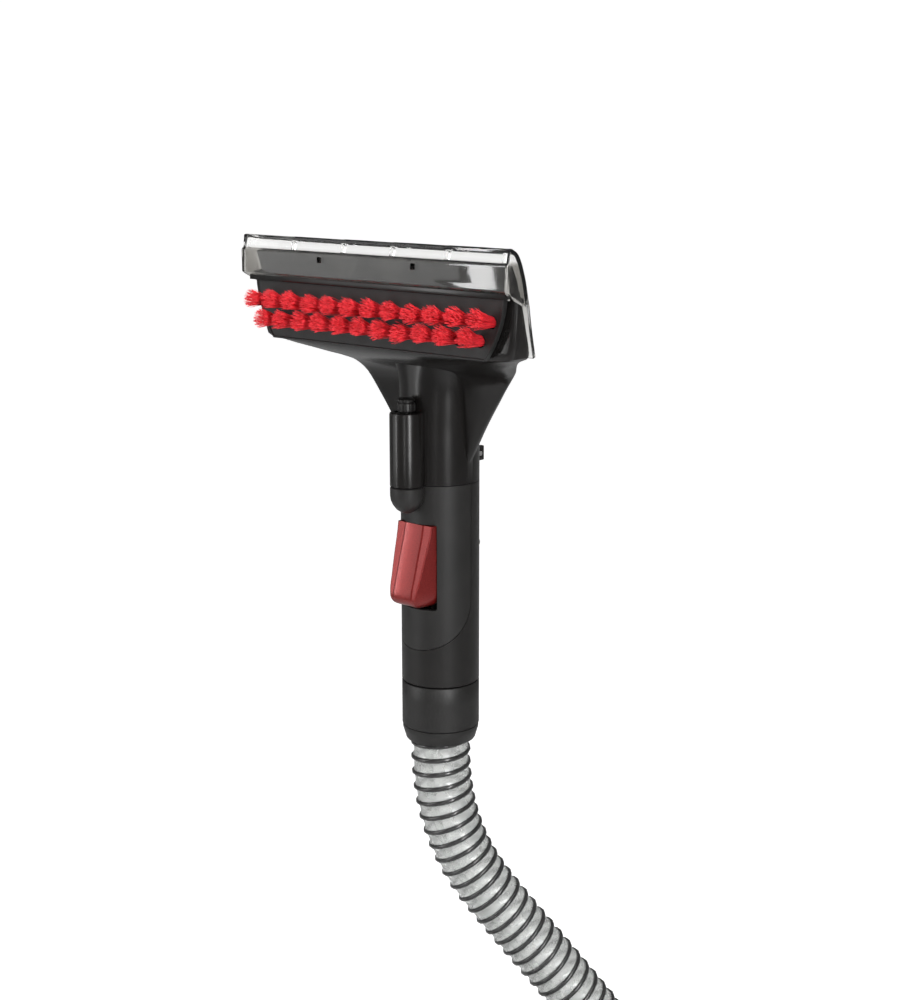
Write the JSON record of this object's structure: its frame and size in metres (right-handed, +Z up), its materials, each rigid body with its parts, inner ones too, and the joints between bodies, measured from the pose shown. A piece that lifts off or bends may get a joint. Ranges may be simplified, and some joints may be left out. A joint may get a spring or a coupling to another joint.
{
  "type": "carpet cleaner hand tool with hose",
  "caption": "Handheld upholstery and stair tool of a carpet cleaner: wide brush and suction head on a trigger grip, with its clear ribbed hose coiled below.",
  "frame": {"origin": "on the grip's axis at the middle of the palm", "axes": "+Z up the grip towards the head, +X along the wide head, -Y the side the brush and trigger face"},
  "size_m": [0.3137, 0.2933, 0.7591],
  "materials": {
    "black_gloss": "polished moulded plastic",
    "black_satin": "satin moulded plastic",
    "charcoal_matte": "fine spark-eroded texture",
    "black_rubber": "soft matte rubber",
    "smoked_clear": "clear moulded plastic, lightly smoked",
    "hose_clear": "flexible clear vinyl with a dark helix",
    "red_bristle": "nylon filaments",
    "red_metallic": "metallic red satin paint",
    "steel": "bright wire and screws",
    "valve_white": "natural acetal",
    "tube_clear": "translucent vinyl",
    "strap": "woven hook and loop strap"
  },
  "bodies": {
    "grip": {"grip_front_cover": "charcoal_matte", "grip_rear_shell": "black_satin", "grip_airway_tube": "black_satin", "trigger_pivot_pin": "steel", "trigger_spring": "steel", "valve_body": "valve_white", "valve_spring": "steel", "solution_tube_lower": "tube_clear", "solution_tube_upper": "tube_clear", "fluid_connector_pin": "valve_white", "grip_screw_left": "steel", "grip_screw_right": "steel", "neck_seal": "black_rubber", "swivel_seal": "black_rubber"},
    "trigger": {"trigger": "red_metallic"},
    "plunger": {"valve_plunger": "steel"},
    "tool": {"head_body": "black_gloss", "nozzle_window": "smoked_clear", "window_seal": "black_rubber", "brush_plate": "black_satin", "bristle_row_upper": "red_bristle", "bristle_row_lower": "red_bristle", "fluid_pod": "black_gloss", "pod_seal": "black_rubber", "spray_fitting": "black_satin", "release_lever_pin": "steel", "release_lever_spring": "steel"},
    "release_lever": {"tool_release_lever": "black_satin"},
    "hose": {"hose_cuff": "charcoal_matte", "cuff_ring": "charcoal_matte", "hose_sleeve": "black_rubber", "solution_line": "tube_clear", "hose_run": "hose_clear", "hose_coil": "hose_clear", "hose_tie_left": "strap", "hose_tie_right": "strap", "machine_cuff": "charcoal_matte", "machine_connector": "black_satin", "connector_seal": "black_rubber", "solution_nipple": "valve_white", "latch_spring": "steel"},
    "connector_latch": {"connector_latch": "black_gloss"}
  },
  "joints": [
    {"name": "trigger_hinge", "type": "hinge", "parent": "grip", "child": "trigger", "pos_m": [0, -0.0095, 0.043], "axis": [1, 0, 0], "range_deg": [0, 6.5], "stiffness_Nm_per_rad": 0.4, "springref_deg": -8.59, "deforming": ["trigger_spring"]},
    {"name": "valve_slide", "type": "slide", "parent": "grip", "child": "plunger", "axis": [0, 1, 0], "range_m": [0, 0.0026], "deforming": ["valve_spring"]},
    {"name": "tool_lift", "type": "slide", "parent": "grip", "child": "tool", "axis": [0, 0, 1], "range_m": [0, 0.045]},
    {"name": "release_lever_hinge", "type": "hinge", "parent": "tool", "child": "release_lever", "pos_m": [0, 0.0222, 0.074], "axis": [1, 0, 0], "range_deg": [0, 6], "stiffness_Nm_per_rad": 0.3, "springref_deg": -6.88, "deforming": ["release_lever_spring"]},
    {"name": "hose_swivel", "type": "hinge", "parent": "grip", "child": "hose", "pos_m": [0, 0, -0.0357], "axis": [0, 0, 1], "continuous": true},
    {"name": "connector_latch_press", "type": "slide", "parent": "hose", "child": "connector_latch", "axis": [-0.6561, 0.7547, 0], "range_m": [0, 0.0016], "stiffness_N_per_m": 600, "springref_m": -0.002, "deforming": ["latch_spring"]}
  ],
  "couplings": [
    {"joint": "valve_slide", "follows": "trigger_hinge", "m_per_rad": 0.0226}
  ]
}
